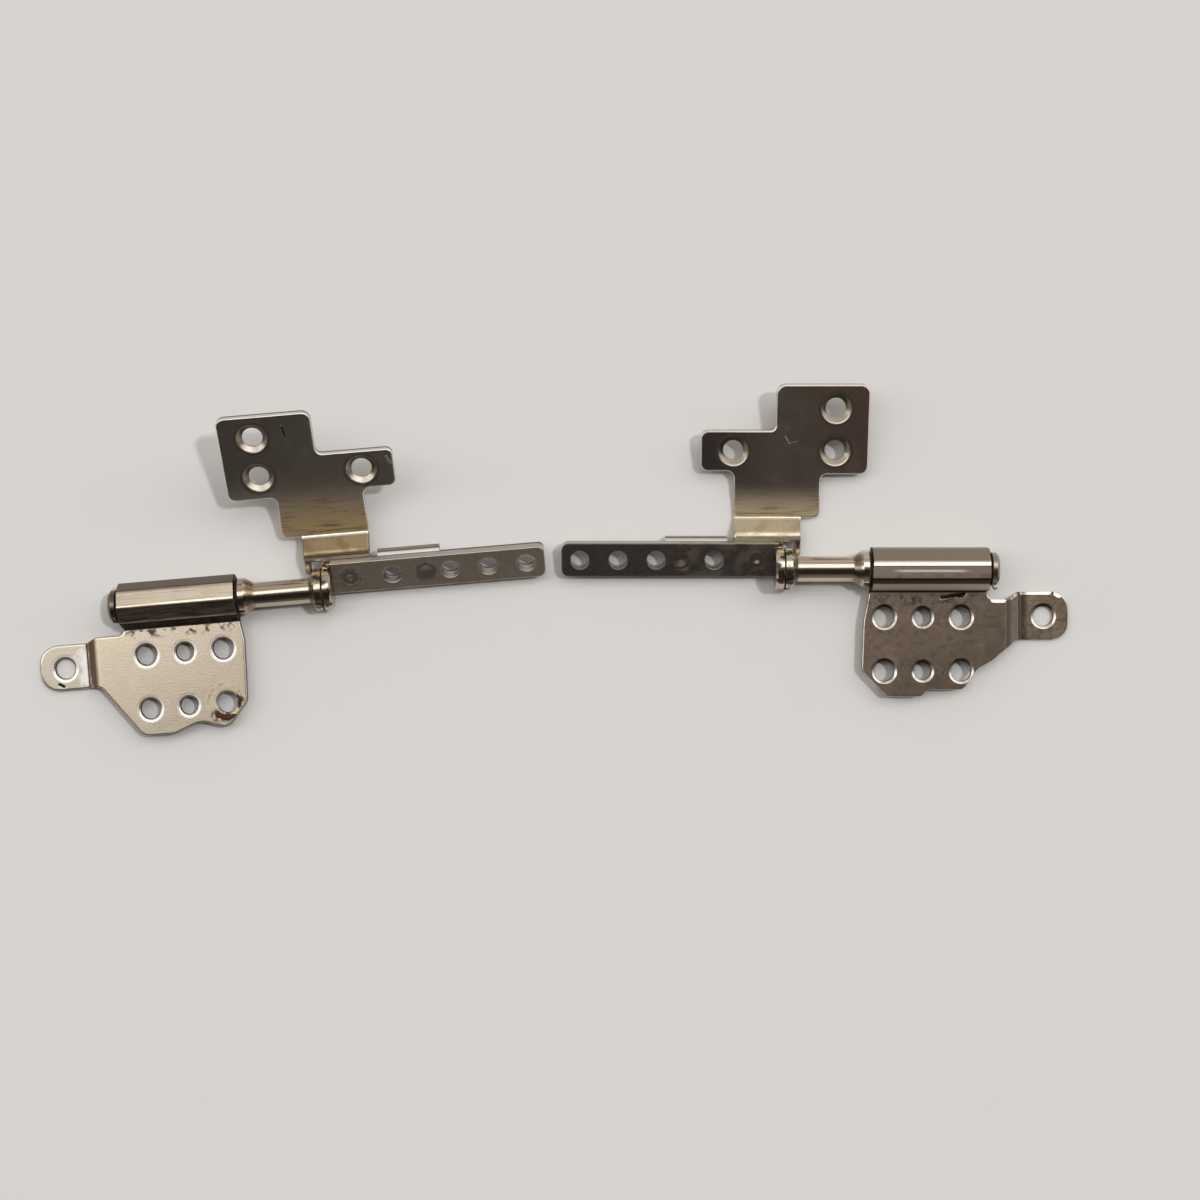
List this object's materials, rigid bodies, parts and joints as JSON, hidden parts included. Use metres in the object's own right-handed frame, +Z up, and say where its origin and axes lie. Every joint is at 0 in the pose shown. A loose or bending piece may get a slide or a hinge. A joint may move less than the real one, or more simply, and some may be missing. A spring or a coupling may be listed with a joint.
{
  "type": "laptop hinge pair",
  "caption": "Pair of friction hinges for a laptop lid: stamped base brackets with rolled knuckles, turned shafts with flat arms, and stepped lid brackets.",
  "frame": {"origin": "middle of the pair's box, on the table that the pair lies on", "axes": "+X from the left hinge to the right hinge, along the right hinge's axis; +Y from base plates to lid plates; +Z up"},
  "size_m": [0.1464, 0.0498, 0.0124],
  "materials": {
    "base_sheet": "nickel plated, satin, worn",
    "shaft_steel": "nickel plated, turned",
    "lid_sheet": "nickel plated, satin",
    "rivet_steel": "plated, set flush"
  },
  "bodies": {
    "base_brackets": {"left_base_bracket": "base_sheet", "right_base_bracket": "base_sheet"},
    "left_lid_leaf": {"left_hinge_shaft": "shaft_steel", "left_lid_bracket": "lid_sheet", "left_inner_rivet": "rivet_steel", "left_outer_rivet": "rivet_steel"},
    "right_lid_leaf": {"right_hinge_shaft": "shaft_steel", "right_lid_bracket": "lid_sheet", "right_inner_rivet": "rivet_steel", "right_outer_rivet": "rivet_steel"}
  },
  "joints": [
    {"name": "left_lid_hinge", "type": "hinge", "parent": "base_brackets", "child": "left_lid_leaf", "pos_m": [-0.0448, -0.00506, 0.00322], "axis": [0.9965, 0.0837, 0], "range_deg": [-31.5, 148.5]},
    {"name": "right_lid_hinge", "type": "hinge", "parent": "base_brackets", "child": "right_lid_leaf", "pos_m": [0.04489, -0.00117, 0.00312], "axis": [1, 0, 0], "range_deg": [-16.65, 163.35]}
  ]
}
